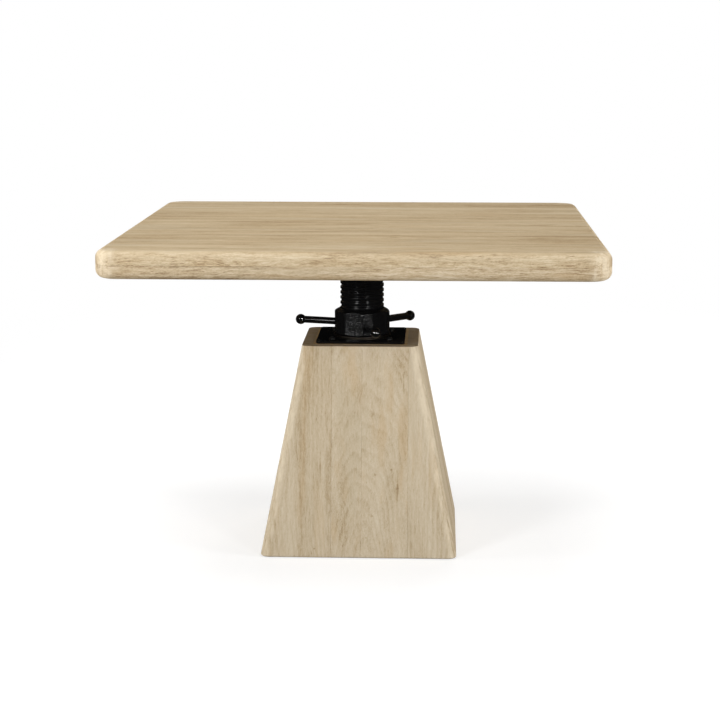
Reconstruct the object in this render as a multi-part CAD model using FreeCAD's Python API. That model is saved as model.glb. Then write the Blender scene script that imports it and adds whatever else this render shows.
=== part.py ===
import FreeCAD, Part
import math
import os

from FreeCAD import Vector

# Telescoping pedestal table. A square wooden top stands on a thick threaded column. The column rises and
# sinks through a nut that is turned by three ball-ended handles on top of a hollow wooden base.
# Units are millimetres. +Z is up, +X runs along the boards of the top, and -Y is the front.
# The origin is on the floor, under the axis of the column.

# ---- Driving dimensions: table top ----
TOP_WIDTH = 1067.0
TOP_BOARD_COUNT = 7
TOP_BOARD_THICKNESS = 30.0
TOP_CORNER_RADIUS = 48.0
TOP_EDGE_RADIUS = 18.0
EDGE_STRIP_THICKNESS = 30.0
EDGE_STRIP_WIDTH = 90.0
BATTEN_WIDTH = 70.0
WOOD_SCREW_RADIUS = 3.0
WOOD_SCREW_HEAD_RADIUS = 6.0
WOOD_SCREW_BITE = 22.0

# ---- Driving dimensions: metalwork under the top ----
TOP_PLATE_WIDTH = 420.0
TOP_PLATE_THICKNESS = 8.0
TOP_PLATE_CORNER_RADIUS = 24.0
PLATE_SCREW_INSET = 30.0
COLLAR_WALL = 22.0
COLLAR_HEIGHT = 36.0
RIB_THICKNESS = 8.0
RIB_TIP_HEIGHT = 4.0
RIB_TIP_INSET = 40.0
COLUMN_SCREW_RADIUS = 3.0
COLUMN_SCREW_HEAD_RADIUS = 6.0
COLUMN_SCREW_LENGTH = 32.0

# ---- Driving dimensions: threaded column ----
COLUMN_RADIUS = 51.0
COLUMN_WALL = 13.0
THREAD_PITCH = 12.0
THREAD_DEPTH = 2.5
THREAD_GROOVE_MOUTH = 6.4
THREAD_GROOVE_FLOOR = 3.6
SPIGOT_STEP = 0.5
KEY_WIDTH = 12.0
KEY_LENGTH = 40.0
KEY_BITE = 4.5
KEY_SEAT = 6.0

# ---- Driving dimensions: lifting nut and handles ----
NUT_WALL = 13.7
NUT_HEIGHT = 60.7
NUT_NARROW_FACE_ANGLE = 20.0
NUT_SHOULDER_RADIUS = 8.8
NUT_SHOULDER_STAND = 0.8
NUT_BEVEL_ANGLE = 30.0
NUT_RIM_WIDTH = 0.8
JOURNAL_WALL = 5.5
JOURNAL_LIP = 2.0
HANDLE_COUNT = 3
HANDLE_ANGLE = 14.0
HANDLE_ROD_LENGTH = 80.0
HANDLE_HEIGHT = 24.5
HANDLE_ROD_RADIUS = 8.3
HANDLE_SPIGOT_RADIUS = 5.5
HANDLE_SPIGOT_LENGTH = 8.5
BALL_RADIUS = 12.2

# ---- Driving dimensions: flange, guide tube and stops ----
FLANGE_WIDTH = 204.0
FLANGE_THICKNESS = 6.0
FLANGE_CORNER_RADIUS = 8.0
FLANGE_BOLT_SPACING = 133.0
BOLT_SHANK_RADIUS = 4.5
BOLT_HEAD_RADIUS = 7.5
BOLT_HEAD_HEIGHT = 5.0
BOLT_LENGTH = 38.0
BOLT_SOCKET_RADIUS = 2.9
BOLT_SOCKET_DEPTH = 2.6
WASHER_THICKNESS = 3.0
WASHER_MARGIN = 1.8
RETAINING_RING_THICKNESS = 4.0
RETAINING_RING_GROOVE = 2.0
RETAINING_RING_STAND = 3.5
RETAINING_RING_GAP = 14.0
TUBE_WALL = 5.0
BUSH_HEIGHT = 60.0
BUSH_DROP = 5.0
GUIDE_SCREW_RADIUS = 4.0
STOP_RING_HEIGHT = 20.0
STOP_RING_SCREW_RADIUS = 3.0
STOP_RING_SCREW_RECESS = 1.0
STOP_RING_SCREW_BITE = 4.0
RAISED_TRAVEL = 172.0
LOWERED_TRAVEL = 120.0

# ---- Driving dimensions: base ----
BASE_BOTTOM_WIDTH = 449.0
BASE_TOP_WIDTH = 266.0
BASE_HEIGHT = 475.0
BASE_CORNER_RADIUS = 20.0
BASE_FOOT_RADIUS = 4.0
PANEL_THICKNESS = 25.0
CAP_BOARD_THICKNESS = 45.0
RAIL_THICKNESS = 28.0
RAIL_HEIGHT = 60.0
BRACE_THICKNESS = 25.0
POST_WIDTH = 38.0
GLIDE_RADIUS = 10.0
GLIDE_THICKNESS = 6.0
GLIDE_PROJECTION = 1.5
GLIDE_INSET = 35.0

# ---- Clearances ----
THREAD_CLEARANCE = 0.5
RUNNING_GAP = 0.3
JOURNAL_CLEARANCE = 0.4
GUIDE_CLEARANCE = 0.5
KEY_CLEARANCE = 0.5
KEY_TIP_CLEARANCE = 1.0
RETAINING_RING_CLEARANCE = 1.0
TUBE_HOLE_CLEARANCE = 0.5
STOP_GAP = 2.0

# ---- Heights that follow from the driving dimensions ----
FLANGE_TOP = BASE_HEIGHT + FLANGE_THICKNESS
NUT_UNDERSIDE = FLANGE_TOP + WASHER_THICKNESS + RUNNING_GAP
NUT_TOP = NUT_UNDERSIDE + NUT_HEIGHT
HANDLE_Z = NUT_UNDERSIDE + HANDLE_HEIGHT
RETAINING_RING_TOP = BASE_HEIGHT - RUNNING_GAP
RETAINING_RING_UNDERSIDE = RETAINING_RING_TOP - RETAINING_RING_THICKNESS
JOURNAL_UNDERSIDE = RETAINING_RING_UNDERSIDE - JOURNAL_LIP

COLLAR_UNDERSIDE = NUT_TOP + STOP_GAP + LOWERED_TRAVEL
TOP_PLATE_UNDERSIDE = COLLAR_UNDERSIDE + COLLAR_HEIGHT
BOARD_UNDERSIDE = TOP_PLATE_UNDERSIDE + TOP_PLATE_THICKNESS
TOP_UNDERSIDE = BOARD_UNDERSIDE - EDGE_STRIP_THICKNESS
TABLE_HEIGHT = BOARD_UNDERSIDE + TOP_BOARD_THICKNESS

BUSH_TOP = JOURNAL_UNDERSIDE - BUSH_DROP
BUSH_UNDERSIDE = BUSH_TOP - BUSH_HEIGHT
BUSH_MIDDLE = (BUSH_TOP + BUSH_UNDERSIDE) / 2
STOP_RING_TOP = BUSH_UNDERSIDE - STOP_GAP - RAISED_TRAVEL
COLUMN_FOOT = STOP_RING_TOP - STOP_RING_HEIGHT
BRACE_UNDERSIDE = GLIDE_PROJECTION + RAIL_HEIGHT
BRACE_TOP = BRACE_UNDERSIDE + BRACE_THICKNESS
CAP_BOARD_UNDERSIDE = BASE_HEIGHT - CAP_BOARD_THICKNESS

# ---- Radii and widths that follow from the driving dimensions ----
COLUMN_BORE_RADIUS = COLUMN_RADIUS - COLUMN_WALL
THREAD_ROOT_RADIUS = COLUMN_RADIUS - THREAD_DEPTH
SPIGOT_RADIUS = THREAD_ROOT_RADIUS - SPIGOT_STEP
COLLAR_RADIUS = SPIGOT_RADIUS + COLLAR_WALL
NUT_BORE_RADIUS = THREAD_ROOT_RADIUS + THREAD_CLEARANCE
NUT_THREAD_RADIUS = COLUMN_RADIUS + THREAD_CLEARANCE
NUT_CIRCUMRADIUS = NUT_THREAD_RADIUS + NUT_WALL
NUT_NARROW_APOTHEM = NUT_CIRCUMRADIUS * math.cos(math.radians(NUT_NARROW_FACE_ANGLE / 2))
JOURNAL_RADIUS = NUT_THREAD_RADIUS + JOURNAL_WALL
WASHER_RADIUS = NUT_CIRCUMRADIUS + WASHER_MARGIN
RETAINING_RING_RADIUS = JOURNAL_RADIUS + RETAINING_RING_STAND
TUBE_BORE_RADIUS = RETAINING_RING_RADIUS + RETAINING_RING_CLEARANCE
TUBE_RADIUS = TUBE_BORE_RADIUS + TUBE_WALL
BUSH_BORE_RADIUS = COLUMN_RADIUS + GUIDE_CLEARANCE
STOP_RING_RADIUS = TUBE_BORE_RADIUS - GUIDE_CLEARANCE
KEY_INNER_RADIUS = COLUMN_RADIUS - KEY_BITE
KEY_OUTER_RADIUS = BUSH_BORE_RADIUS + KEY_SEAT
KEYWAY_DEPTH = KEY_BITE + KEY_TIP_CLEARANCE
BALL_FLAT = math.sqrt(BALL_RADIUS ** 2 - HANDLE_ROD_RADIUS ** 2)
HANDLE_REACH = NUT_NARROW_APOTHEM + HANDLE_ROD_LENGTH + BALL_FLAT
BATTEN_REACH = TOP_WIDTH / 2 - EDGE_STRIP_WIDTH
BATTEN_OFFSET = (TOP_PLATE_WIDTH / 2 + BATTEN_REACH) / 2


# ---- Shape helpers ----
def cylinder(radius, z_low, z_high, x=0.0, y=0.0):
    """Upright cylinder between two heights."""
    return Part.makeCylinder(radius, z_high - z_low, Vector(x, y, z_low))


def ring(inner_radius, outer_radius, z_low, z_high):
    """Upright ring about the column's axis."""
    return cylinder(outer_radius, z_low, z_high).cut(cylinder(inner_radius, z_low, z_high))


def block(x_low, x_high, y_low, y_high, z_low, z_high):
    """Box between two corners."""
    return Part.makeBox(x_high - x_low, y_high - y_low, z_high - z_low, Vector(x_low, y_low, z_low))


def turned(shape, degrees):
    """Copy of a shape turned about the column's axis, anticlockwise from above."""
    copy = shape.copy()
    copy.rotate(Vector(0, 0, 0), Vector(0, 0, 1), degrees)
    return copy


def moved(shape, x, y, z):
    """Copy of a shape moved by x, y and z."""
    copy = shape.copy()
    copy.translate(Vector(x, y, z))
    return copy


def front_pin(radius, near, far, z):
    """Level cylinder that points to the front, between two distances from the column's axis."""
    return Part.makeCylinder(radius, far - near, Vector(0, -near, z), Vector(0, -1, 0))


def square(half_width, z):
    """Corners of a level square about the column's axis."""
    signs = [(-1, -1), (1, -1), (1, 1), (-1, 1)]
    return [Vector(a * half_width, b * half_width, z) for a, b in signs]


def six_faced(low_corners, high_corners):
    """Solid with flat faces between four lower corners and the four above them, both anticlockwise."""
    outlines = [low_corners[::-1], high_corners]
    for i in range(4):
        j = (i + 1) % 4
        outlines.append([low_corners[i], low_corners[j], high_corners[j], high_corners[i]])
    faces = [Part.Face(Part.makePolygon(outline + [outline[0]])) for outline in outlines]
    return Part.makeSolid(Part.makeShell(faces))


def edges_at(shape, z):
    """Edges of a shape that lie at one height."""
    return [edge for edge in shape.Edges if all(abs(v.Z - z) < 0.001 for v in edge.Vertexes)]


def rising_edges(shape):
    """Edges of a shape that run from one height to another."""
    return [edge for edge in shape.Edges if abs(edge.Vertexes[0].Z - edge.Vertexes[-1].Z) > 0.001]


def rounded_plate(width, corner_radius, z_low, z_high):
    """Square plate about the column's axis with rounded corners."""
    half = width / 2
    plate = block(-half, half, -half, half, z_low, z_high)
    return plate.makeFillet(corner_radius, rising_edges(plate))


def revolved(outline):
    """Solid of revolution about the Z axis, from the edges of a closed outline in the XZ plane."""
    face = Part.Face(Part.Wire(outline))
    return face.revolve(Vector(0, 0, 0), Vector(0, 0, 1), 360)


def countersunk_screw(radius, head_radius, length):
    """Screw that points up from a flat head at the origin, with a point at its tip."""
    head_height = head_radius - radius
    point_height = 2 * radius
    head = Part.makeCone(head_radius, radius, head_height)
    shank = cylinder(radius, head_height, length - point_height)
    point = Part.makeCone(radius, radius / 4, point_height, Vector(0, 0, length - point_height))
    return head.fuse(shank).fuse(point).removeSplitter()


def copies_at(shape, places, z):
    """One compound of copies of a shape, at (x, y) places on one height."""
    return Part.makeCompound([moved(shape, x, y, z) for x, y in places])


def helical_cutter(inner_radius, inner_width, outer_radius, outer_width, z_middle, z_low, z_high):
    """Cutter for a right-hand thread groove. Its middle passes +X at z_middle, and it runs past both ends."""
    turns_below = math.ceil((z_middle - z_low) / THREAD_PITCH) + 1
    turns_above = math.ceil((z_high - z_middle) / THREAD_PITCH) + 1
    z_start = z_middle - turns_below * THREAD_PITCH
    section = [
        Vector(inner_radius, 0, z_start - inner_width / 2),
        Vector(outer_radius, 0, z_start - outer_width / 2),
        Vector(outer_radius, 0, z_start + outer_width / 2),
        Vector(inner_radius, 0, z_start + inner_width / 2),
    ]
    outline = Part.makePolygon(section + [section[0]])
    rise = (turns_below + turns_above) * THREAD_PITCH
    path = Part.makeLongHelix(THREAD_PITCH, rise, inner_radius, 0, False)
    path.translate(Vector(0, 0, z_start))
    return Part.Wire(path.Edges).makePipeShell([outline], True, True)


# ---- Table top ----
def top_form():
    """Outer form of the whole top: a thick square slab with rounded corners and edges."""
    slab = rounded_plate(TOP_WIDTH, TOP_CORNER_RADIUS, TOP_UNDERSIDE, TABLE_HEIGHT)
    rims = edges_at(slab, TOP_UNDERSIDE) + edges_at(slab, TABLE_HEIGHT)
    return slab.makeFillet(TOP_EDGE_RADIUS, rims)


def plate_screw_places():
    """Places of the top plate's wood screws: the corners and the middles of a square."""
    reach = TOP_PLATE_WIDTH / 2 - PLATE_SCREW_INSET
    steps = (-reach, 0.0, reach)
    return [(x, y) for x in steps for y in steps if (x, y) != (0.0, 0.0)]


def board_middle(index):
    """Y of the middle of one top board."""
    return (index + 0.5) * TOP_WIDTH / TOP_BOARD_COUNT - TOP_WIDTH / 2


def batten_screw_places():
    """Places of the battens' wood screws: one under each board that a batten crosses."""
    furthest = BATTEN_REACH - BATTEN_WIDTH / 2
    rows = [max(-furthest, min(furthest, board_middle(i))) for i in range(TOP_BOARD_COUNT)]
    return [(x, y) for x in (-BATTEN_OFFSET, BATTEN_OFFSET) for y in rows]


def plate_screws():
    """Wood screws that hold the top plate to the boards."""
    length = TOP_PLATE_THICKNESS + WOOD_SCREW_BITE
    screw = countersunk_screw(WOOD_SCREW_RADIUS, WOOD_SCREW_HEAD_RADIUS, length)
    return copies_at(screw, plate_screw_places(), TOP_PLATE_UNDERSIDE)


def batten_screws():
    """Wood screws that hold the battens to the boards."""
    length = EDGE_STRIP_THICKNESS + WOOD_SCREW_BITE
    screw = countersunk_screw(WOOD_SCREW_RADIUS, WOOD_SCREW_HEAD_RADIUS, length)
    return copies_at(screw, batten_screw_places(), TOP_UNDERSIDE)


def top_boards():
    """Edge-glued boards of the top, from the front to the back."""
    form = top_form()
    half = TOP_WIDTH / 2
    screws = Part.makeCompound([plate_screws(), batten_screws()])
    nodes = {}
    for i in range(TOP_BOARD_COUNT):
        y_low = i * TOP_WIDTH / TOP_BOARD_COUNT - half
        y_high = (i + 1) * TOP_WIDTH / TOP_BOARD_COUNT - half
        board = form.common(block(-half, half, y_low, y_high, BOARD_UNDERSIDE, TABLE_HEIGHT))
        nodes[f"top_board_{i + 1}"] = board.cut(screws)
    return nodes


def edge_strips():
    """Strips glued under the edges of the boards, which make the top look as thick as it does."""
    form = top_form()
    half = TOP_WIDTH / 2
    inner = half - EDGE_STRIP_WIDTH
    spans = {
        "front": (-half, half, -half, -inner),
        "back": (-half, half, inner, half),
        "left": (-half, -inner, -inner, inner),
        "right": (inner, half, -inner, inner),
    }
    return {
        f"edge_strip_{side}": form.common(block(*span, TOP_UNDERSIDE, BOARD_UNDERSIDE))
        for side, span in spans.items()
    }


def battens():
    """Two battens across the boards, between the front and back edge strips."""
    screws = batten_screws()
    nodes = {}
    for side, x in (("left", -BATTEN_OFFSET), ("right", BATTEN_OFFSET)):
        x_low = x - BATTEN_WIDTH / 2
        x_high = x + BATTEN_WIDTH / 2
        batten = block(x_low, x_high, -BATTEN_REACH, BATTEN_REACH, TOP_UNDERSIDE, BOARD_UNDERSIDE)
        nodes[f"batten_{side}"] = batten.cut(screws)
    return nodes


# ---- Metalwork under the top ----
def column_screws():
    """Countersunk screws that go down through the top plate into the wall of the column."""
    screw = countersunk_screw(COLUMN_SCREW_RADIUS, COLUMN_SCREW_HEAD_RADIUS, COLUMN_SCREW_LENGTH)
    screw.rotate(Vector(0, 0, 0), Vector(1, 0, 0), 180)
    reach = (COLUMN_BORE_RADIUS + SPIGOT_RADIUS) / 2
    first = moved(screw, reach, 0, BOARD_UNDERSIDE)
    return Part.makeCompound([turned(first, 45 + 90 * i) for i in range(4)])


def top_plate():
    """Square steel plate under the boards."""
    plate = rounded_plate(TOP_PLATE_WIDTH, TOP_PLATE_CORNER_RADIUS, TOP_PLATE_UNDERSIDE, BOARD_UNDERSIDE)
    return plate.cut(Part.makeCompound([plate_screws(), column_screws()]))


def top_collar():
    """Collar welded under the top plate, which the head of the column stands in."""
    return ring(SPIGOT_RADIUS, COLLAR_RADIUS, COLLAR_UNDERSIDE, TOP_PLATE_UNDERSIDE)


def plate_ribs():
    """Ribs welded between the collar and the top plate, one towards each corner of the plate."""
    tip = TOP_PLATE_WIDTH / math.sqrt(2) - RIB_TIP_INSET
    profile = [
        Vector(SPIGOT_RADIUS, 0, TOP_PLATE_UNDERSIDE),
        Vector(tip, 0, TOP_PLATE_UNDERSIDE),
        Vector(tip, 0, TOP_PLATE_UNDERSIDE - RIB_TIP_HEIGHT),
        Vector(COLLAR_RADIUS, 0, COLLAR_UNDERSIDE),
        Vector(SPIGOT_RADIUS, 0, COLLAR_UNDERSIDE),
    ]
    rib = Part.Face(Part.makePolygon(profile + [profile[0]])).extrude(Vector(0, RIB_THICKNESS, 0))
    rib = moved(rib, 0, -RIB_THICKNESS / 2, 0)
    rib = rib.cut(cylinder(COLLAR_RADIUS, COLLAR_UNDERSIDE, TOP_PLATE_UNDERSIDE))
    return Part.makeCompound([turned(rib, 45 + 90 * i) for i in range(4)])


# ---- Threaded column ----
def stop_ring_screws():
    """Screws that hold the stop ring on the foot of the column."""
    near = SPIGOT_RADIUS - STOP_RING_SCREW_BITE
    far = STOP_RING_RADIUS - STOP_RING_SCREW_RECESS
    pin = front_pin(STOP_RING_SCREW_RADIUS, near, far, COLUMN_FOOT + STOP_RING_HEIGHT / 2)
    return Part.makeCompound([turned(pin, 120 * i) for i in range(3)])


def stop_ring():
    """Ring on the foot of the column. It slides in the guide tube and stops the column under the bush."""
    body = ring(SPIGOT_RADIUS, STOP_RING_RADIUS, COLUMN_FOOT, STOP_RING_TOP)
    pocket = front_pin(STOP_RING_SCREW_RADIUS, SPIGOT_RADIUS - STOP_RING_SCREW_BITE, TUBE_RADIUS,
                       COLUMN_FOOT + STOP_RING_HEIGHT / 2)
    return body.cut(Part.makeCompound([turned(pocket, 120 * i) for i in range(3)]))


def threaded_column():
    """Hollow column with a right-hand thread, a plain spigot at each end and a keyway down its back."""
    thread = cylinder(COLUMN_RADIUS, STOP_RING_TOP, COLLAR_UNDERSIDE)
    spigots = cylinder(SPIGOT_RADIUS, COLUMN_FOOT, TOP_PLATE_UNDERSIDE)
    flank = (THREAD_GROOVE_MOUTH - THREAD_GROOVE_FLOOR) / THREAD_DEPTH
    outer_width = THREAD_GROOVE_MOUTH + flank * THREAD_DEPTH
    groove = helical_cutter(THREAD_ROOT_RADIUS, THREAD_GROOVE_FLOOR, COLUMN_RADIUS + THREAD_DEPTH,
                            outer_width, NUT_TOP, STOP_RING_TOP, COLLAR_UNDERSIDE)
    keyway_half = KEY_WIDTH / 2 + KEY_CLEARANCE
    keyway = block(-keyway_half, keyway_half, COLUMN_RADIUS - KEYWAY_DEPTH, COLUMN_RADIUS + THREAD_DEPTH,
                   STOP_RING_TOP, COLLAR_UNDERSIDE)
    bore = cylinder(COLUMN_BORE_RADIUS, COLUMN_FOOT, TOP_PLATE_UNDERSIDE)
    column = thread.cut(groove).fuse(spigots).cut(keyway).cut(bore)
    return column.cut(Part.makeCompound([column_screws(), stop_ring_screws()]))


# ---- Lifting nut and handles ----
def nut_prism():
    """Upright prism of the nut: wide faces and narrow faces by turns, with a narrow face to each handle."""
    corners = []
    for i in range(2 * HANDLE_COUNT):
        middle = HANDLE_ANGLE + i * 180 / HANDLE_COUNT
        for side in (-1, 1):
            angle = math.radians(middle + side * NUT_NARROW_FACE_ANGLE / 2)
            corners.append(Vector(NUT_CIRCUMRADIUS * math.sin(angle), -NUT_CIRCUMRADIUS * math.cos(angle),
                                  NUT_UNDERSIDE))
    outline = Part.makePolygon(corners + [corners[0]])
    return Part.Face(outline).extrude(Vector(0, 0, NUT_HEIGHT))


def nut_dome():
    """Turned form of the nut: a rounded lower shoulder, and an upper shoulder that runs into a bevel."""
    outer = NUT_CIRCUMRADIUS + NUT_SHOULDER_STAND
    flat = outer - NUT_SHOULDER_RADIUS
    rim = NUT_THREAD_RADIUS + NUT_RIM_WIDTH
    slope = math.radians(NUT_BEVEL_ANGLE)
    bevel_foot = flat + NUT_SHOULDER_RADIUS * math.sin(slope)
    bevel_z = NUT_TOP - (bevel_foot - rim) * math.tan(slope)
    low_centre = NUT_UNDERSIDE + NUT_SHOULDER_RADIUS
    high_centre = bevel_z - NUT_SHOULDER_RADIUS * math.cos(slope)

    def on_shoulder(centre_z, degrees):
        angle = math.radians(degrees)
        return Vector(flat + NUT_SHOULDER_RADIUS * math.cos(angle), 0,
                      centre_z + NUT_SHOULDER_RADIUS * math.sin(angle))

    low_start, low_end = on_shoulder(low_centre, -90), on_shoulder(low_centre, 0)
    high_start, high_end = on_shoulder(high_centre, 0), on_shoulder(high_centre, 90 - NUT_BEVEL_ANGLE)
    axis_low, axis_high = Vector(0, 0, NUT_UNDERSIDE), Vector(0, 0, NUT_TOP)
    rim_corner = Vector(rim, 0, NUT_TOP)
    outline = [
        Part.makeLine(axis_low, low_start),
        Part.Arc(low_start, on_shoulder(low_centre, -45), low_end).toShape(),
        Part.makeLine(low_end, high_start),
        Part.Arc(high_start, on_shoulder(high_centre, (90 - NUT_BEVEL_ANGLE) / 2), high_end).toShape(),
        Part.makeLine(high_end, rim_corner),
        Part.makeLine(rim_corner, axis_high),
        Part.makeLine(axis_high, axis_low),
    ]
    return revolved(outline)


def handle_angles():
    """Directions of the handles, anticlockwise from the front."""
    return [HANDLE_ANGLE + 360 * i / HANDLE_COUNT for i in range(HANDLE_COUNT)]


def handle_rod():
    """Handle rod that points to the front, with a spigot at each end."""
    near = NUT_NARROW_APOTHEM
    far = HANDLE_REACH - BALL_FLAT
    rod = front_pin(HANDLE_ROD_RADIUS, near, far, HANDLE_Z)
    spigots = front_pin(HANDLE_SPIGOT_RADIUS, near - HANDLE_SPIGOT_LENGTH, far + HANDLE_SPIGOT_LENGTH,
                        HANDLE_Z)
    return rod.fuse(spigots)


def ball_knob():
    """Ball on the end of the front handle, with a flat where it seats on the rod."""
    ball = Part.makeSphere(BALL_RADIUS, Vector(0, -HANDLE_REACH, HANDLE_Z))
    seat = HANDLE_REACH - BALL_FLAT
    return ball.cut(front_pin(BALL_RADIUS, seat - BALL_RADIUS, seat, HANDLE_Z)).cut(handle_rod())


def lifting_nut():
    """Nut with a journal that passes down through the washer and the flange plate."""
    body = nut_prism().common(nut_dome())
    body = body.fuse(cylinder(JOURNAL_RADIUS, JOURNAL_UNDERSIDE, NUT_UNDERSIDE))
    flank = (THREAD_GROOVE_MOUTH - THREAD_GROOVE_FLOOR) / 2 / THREAD_DEPTH
    ridge_at_crest = THREAD_PITCH - THREAD_GROOVE_MOUTH + 2 * THREAD_CLEARANCE
    crest_width = ridge_at_crest - 2 * flank * THREAD_CLEARANCE
    inner_radius = NUT_BORE_RADIUS - THREAD_CLEARANCE
    inner_width = crest_width + 2 * flank * (NUT_THREAD_RADIUS - inner_radius)
    groove = helical_cutter(inner_radius, inner_width, NUT_THREAD_RADIUS, crest_width,
                            NUT_TOP + THREAD_PITCH / 2, JOURNAL_UNDERSIDE, NUT_TOP)
    bore = cylinder(NUT_BORE_RADIUS, JOURNAL_UNDERSIDE, NUT_TOP)
    rods = Part.makeCompound([turned(handle_rod(), angle) for angle in handle_angles()])
    return body.cut(bore).cut(groove).cut(retaining_ring_groove()).cut(rods)


def retaining_ring_groove():
    """Groove in the journal that holds the retaining ring."""
    return ring(JOURNAL_RADIUS - RETAINING_RING_GROOVE, TUBE_RADIUS, RETAINING_RING_UNDERSIDE,
                RETAINING_RING_TOP)


def retaining_ring():
    """Split ring that keeps the nut down. It runs just under the flange plate."""
    body = ring(JOURNAL_RADIUS - RETAINING_RING_GROOVE, RETAINING_RING_RADIUS, RETAINING_RING_UNDERSIDE,
                RETAINING_RING_TOP)
    half = RETAINING_RING_GAP / 2
    return body.cut(block(-half, half, 0, TUBE_RADIUS, RETAINING_RING_UNDERSIDE, RETAINING_RING_TOP))


# ---- Flange, guide tube and bush ----
def flange_bolts():
    """Domed bolts with hexagon sockets that hold the flange plate to the cap board."""
    rise = BOLT_HEAD_HEIGHT
    dome_radius = (BOLT_HEAD_RADIUS ** 2 + rise ** 2) / (2 * rise)
    dome = Part.makeSphere(dome_radius, Vector(0, 0, rise - dome_radius))
    head = dome.common(cylinder(BOLT_HEAD_RADIUS, 0, rise))
    shank = cylinder(BOLT_SHANK_RADIUS, -BOLT_LENGTH, 0)
    corners = [Vector(BOLT_SOCKET_RADIUS * math.cos(math.radians(60 * i)),
                      BOLT_SOCKET_RADIUS * math.sin(math.radians(60 * i)), rise - BOLT_SOCKET_DEPTH)
               for i in range(6)]
    socket = Part.Face(Part.makePolygon(corners + [corners[0]])).extrude(Vector(0, 0, rise))
    bolt = head.fuse(shank).cut(socket)
    half = FLANGE_BOLT_SPACING / 2
    return copies_at(bolt, [(corner.x, corner.y) for corner in square(half, 0)], FLANGE_TOP)


def flange_plate():
    """Square plate on the base that carries the nut and holds the guide tube."""
    plate = rounded_plate(FLANGE_WIDTH, FLANGE_CORNER_RADIUS, BASE_HEIGHT, FLANGE_TOP)
    hole = cylinder(JOURNAL_RADIUS + JOURNAL_CLEARANCE, BASE_HEIGHT, FLANGE_TOP)
    return plate.cut(hole).cut(flange_bolts())


def thrust_washer():
    """Bronze washer that the nut turns on."""
    return ring(JOURNAL_RADIUS + JOURNAL_CLEARANCE, WASHER_RADIUS, FLANGE_TOP, FLANGE_TOP + WASHER_THICKNESS)


def guide_screws():
    """Screws through the guide tube: three into the bush, and one at the back into the key."""
    near = (KEY_INNER_RADIUS + KEY_OUTER_RADIUS) / 2
    pin = front_pin(GUIDE_SCREW_RADIUS, near, TUBE_RADIUS, BUSH_MIDDLE)
    return Part.makeCompound([turned(pin, 180 + 90 * i) for i in range(4)])


def guide_tube():
    """Tube welded under the flange plate, which the stop ring slides in."""
    return ring(TUBE_BORE_RADIUS, TUBE_RADIUS, BRACE_UNDERSIDE, BASE_HEIGHT).cut(guide_screws())


def key_block():
    """Block of the key, in the bush and in the keyway at the back of the column."""
    half = KEY_WIDTH / 2
    return block(-half, half, KEY_INNER_RADIUS, KEY_OUTER_RADIUS, BUSH_MIDDLE - KEY_LENGTH / 2,
                 BUSH_MIDDLE + KEY_LENGTH / 2)


def guide_bush():
    """Bush in the guide tube that the column slides through."""
    bush = ring(BUSH_BORE_RADIUS, TUBE_BORE_RADIUS, BUSH_UNDERSIDE, BUSH_TOP)
    return bush.cut(key_block()).cut(guide_screws())


def guide_key():
    """Key that keeps the column from turning with the nut."""
    return key_block().cut(guide_screws())


# ---- Base ----
def base_half_width(z):
    """Half the outer width of the base at a height."""
    share = z / BASE_HEIGHT
    return (BASE_BOTTOM_WIDTH + share * (BASE_TOP_WIDTH - BASE_BOTTOM_WIDTH)) / 2


def base_form():
    """Outer form of the base: a square frustum with rounded corners and a softened foot."""
    low = square(base_half_width(GLIDE_PROJECTION), GLIDE_PROJECTION)
    high = square(base_half_width(BASE_HEIGHT), BASE_HEIGHT)
    form = six_faced(low, high)
    form = form.makeFillet(BASE_CORNER_RADIUS, rising_edges(form))
    return form.makeFillet(BASE_FOOT_RADIUS, edges_at(form, GLIDE_PROJECTION))


def mitred_piece(outer_inset, inner_inset, z_low, z_high):
    """Front member of a mitred frame between two insets from the outer faces of the base."""
    outlines = []
    for z in (z_low, z_high):
        outer = base_half_width(z) - outer_inset
        inner = base_half_width(z) - inner_inset
        outlines.append([Vector(-outer, -outer, z), Vector(outer, -outer, z),
                         Vector(inner, -inner, z), Vector(-inner, -inner, z)])
    return six_faced(*outlines)


def fitted_board(z_low, z_high):
    """Level board that fits between the four side panels, with a hole for the guide tube."""
    board = six_faced(square(base_half_width(z_low) - PANEL_THICKNESS, z_low),
                      square(base_half_width(z_high) - PANEL_THICKNESS, z_high))
    return board.cut(cylinder(TUBE_RADIUS + TUBE_HOLE_CLEARANCE, z_low, z_high))


def side_angles():
    """Turn about the column's axis that takes a piece from the front to each side."""
    return {"front": 0, "right": 90, "back": 180, "left": 270}


def side_panels():
    """Four mitred panels of the base."""
    form = base_form()
    piece = mitred_piece(0, PANEL_THICKNESS, GLIDE_PROJECTION, BASE_HEIGHT).common(form)
    return {f"panel_{side}": turned(piece, angle) for side, angle in side_angles().items()}


def glide_places():
    """Places of the glides, under the front and back rails."""
    rail_middle = base_half_width(GLIDE_PROJECTION) - PANEL_THICKNESS - RAIL_THICKNESS / 2
    x = rail_middle - GLIDE_INSET
    return [(side_x * x, side_y * rail_middle) for side_y in (-1, 1) for side_x in (-1, 1)]


def glides():
    """Nylon glides that the table stands on."""
    return copies_at(cylinder(GLIDE_RADIUS, 0, GLIDE_THICKNESS), glide_places(), 0)


def rails():
    """Four mitred rails behind the foot of the panels."""
    piece = mitred_piece(PANEL_THICKNESS, PANEL_THICKNESS + RAIL_THICKNESS, GLIDE_PROJECTION, BRACE_UNDERSIDE)
    return {f"rail_{side}": turned(piece, angle).cut(glides()) for side, angle in side_angles().items()}


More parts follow.
